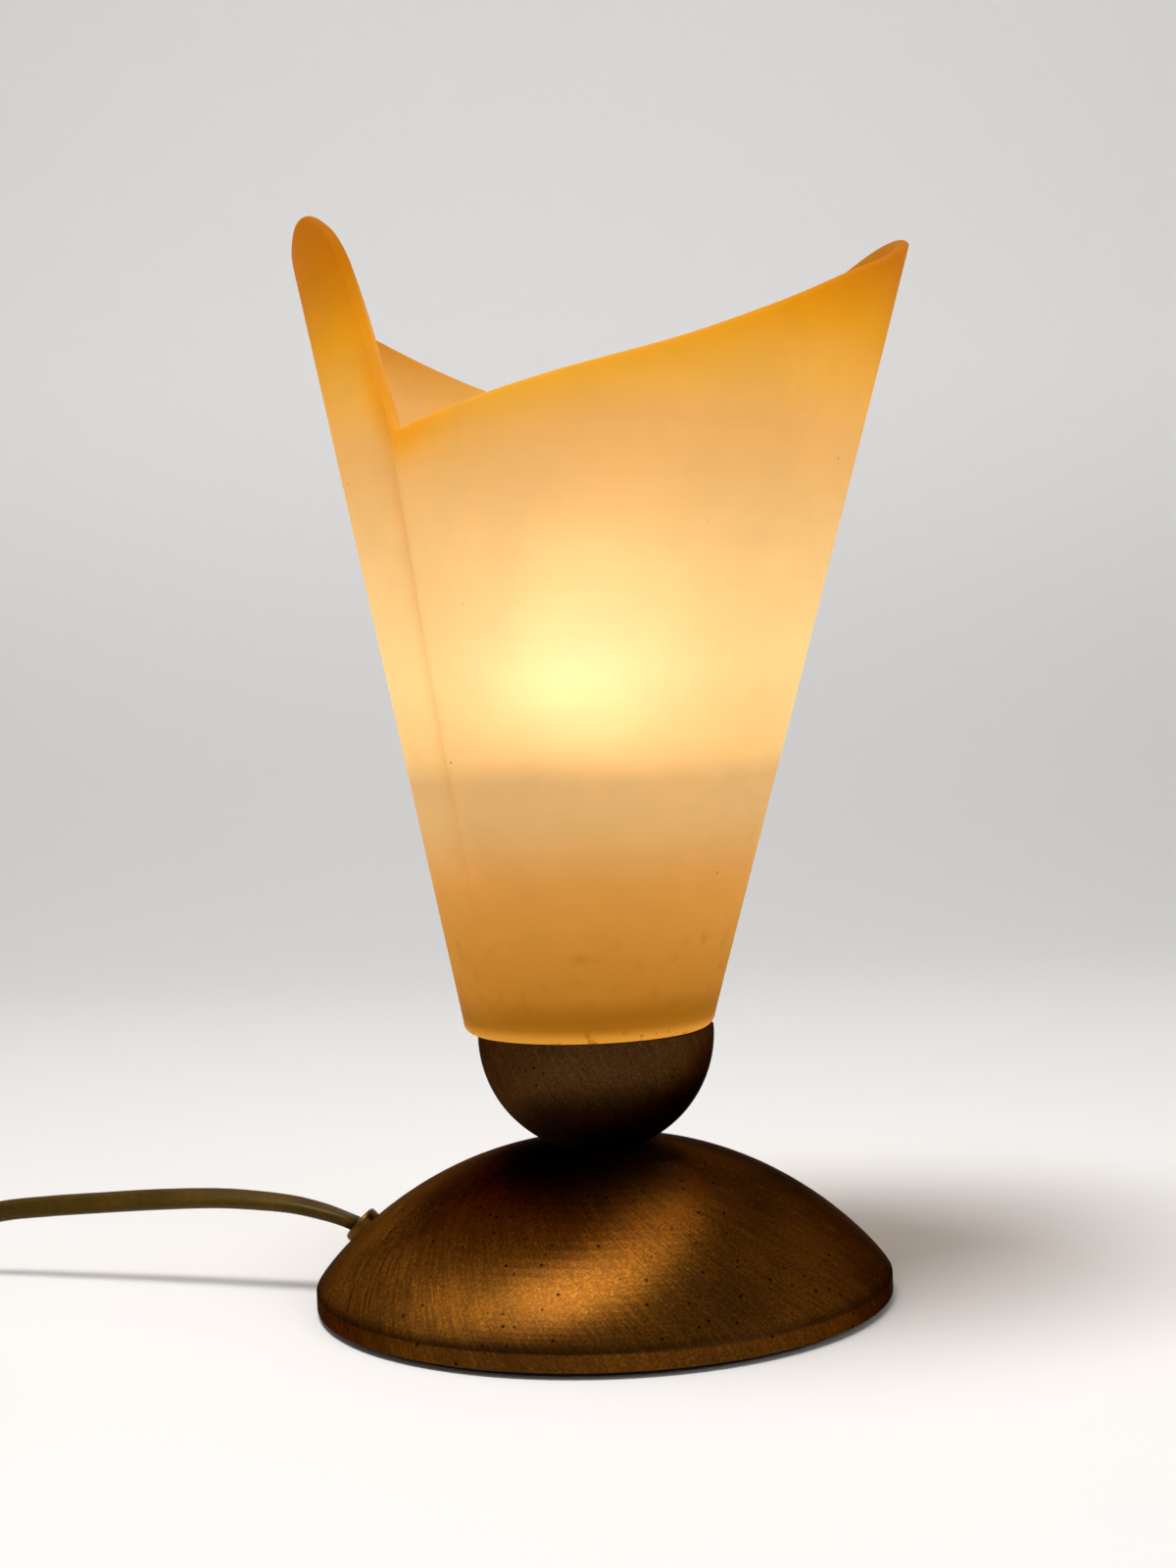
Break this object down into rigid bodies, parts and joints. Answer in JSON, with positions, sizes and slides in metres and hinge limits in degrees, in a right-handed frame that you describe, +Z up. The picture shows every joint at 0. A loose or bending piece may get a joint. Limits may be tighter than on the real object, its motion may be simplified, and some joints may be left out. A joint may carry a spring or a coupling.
{
  "type": "table lamp",
  "caption": "Table lamp with a domed antique-brass base, a half-ball cup and a lit frosted glass shade rolled like a cornet, with an in-line rocker switch on its flat cord.",
  "frame": {"origin": "centre of the felt's underside, where the lamp stands on a table", "axes": "+Z up the stem, -Y towards the viewer of the picture, +X to its right"},
  "size_m": [0.3065, 0.213, 0.2575],
  "materials": {
    "black_felt": "pressed felt",
    "cast_iron": "rough casting",
    "antique_brass": "dark brown antique patina, brushed round",
    "zinc_steel": "zinc plated",
    "gland_brass": "satin",
    "cord_gold": "satin olive gold",
    "wire_brown": "single-core insulation",
    "white_nylon": "moulded",
    "holder_white": "moulded thermoplastic",
    "holder_ceramic": "unglazed insulator",
    "bright_brass": "bright stamping",
    "amber_glass": "frosted inside, lit from within",
    "bulb_nickel": "nickel plated",
    "black_vitrite": "fused black glass",
    "bulb_white": "moulded heat sink",
    "board_white": "solder mask",
    "bulb_glow": "opal, lit warm white",
    "gold_plastic": "moulded to match the cord",
    "rocker_gold": "moulded",
    "tie_black": "flat tie",
    "pin_nickel": "nickel plated"
  },
  "bodies": {
    "lamp": {"felt_pad": "black_felt", "base_weight": "cast_iron", "base_dome": "antique_brass", "shade_cup": "antique_brass", "threaded_tube": "zinc_steel", "tube_nuts": "zinc_steel", "tube_washers": "zinc_steel", "gland_bush": "gland_brass", "gland_nut": "gland_brass", "inner_lead": "cord_gold", "core_wires": "wire_brown", "cord_clamp": "white_nylon", "clamp_screws": "zinc_steel", "holder_cap": "holder_white", "holder_sleeve": "holder_white", "holder_core": "holder_ceramic", "screw_shell": "bright_brass", "centre_contact": "bright_brass", "shade_ring": "holder_white", "glass_shade": "amber_glass", "lamp_cord": "cord_gold", "switch_lower": "gold_plastic", "switch_upper": "gold_plastic", "switch_pin": "zinc_steel", "switch_contacts": "bright_brass", "switch_screws": "zinc_steel", "coil_feed": "cord_gold", "cord_coil": "cord_gold", "cord_tail": "cord_gold", "cord_tie": "tie_black", "plug_body": "gold_plastic", "plug_pins": "pin_nickel"},
    "rocker": {"switch_rocker": "rocker_gold"},
    "bulb_seat": {"bulb_tip": "bulb_nickel"},
    "bulb": {"bulb_insulator": "black_vitrite", "bulb_cap": "bulb_nickel", "bulb_collar": "bulb_white", "bulb_board": "board_white", "bulb_dome": "bulb_glow"}
  },
  "joints": [
    {"name": "rocker_tilt", "type": "hinge", "parent": "lamp", "child": "rocker", "pos_m": [-0.212, -0.023, 0.0132], "axis": [1, 0, 0], "range_deg": [0, 18]},
    {"name": "bulb_lift", "type": "slide", "parent": "lamp", "child": "bulb_seat", "axis": [0, 0, 1], "range_m": [0, 0.0145]},
    {"name": "bulb_turn", "type": "hinge", "parent": "bulb_seat", "child": "bulb", "pos_m": [0, 0, 0.1], "axis": [0, 0, 1], "range_deg": [0, 1800]}
  ],
  "couplings": [
    {"joint": "bulb_lift", "follows": "bulb_turn", "m_per_rad": 0.00044882}
  ]
}
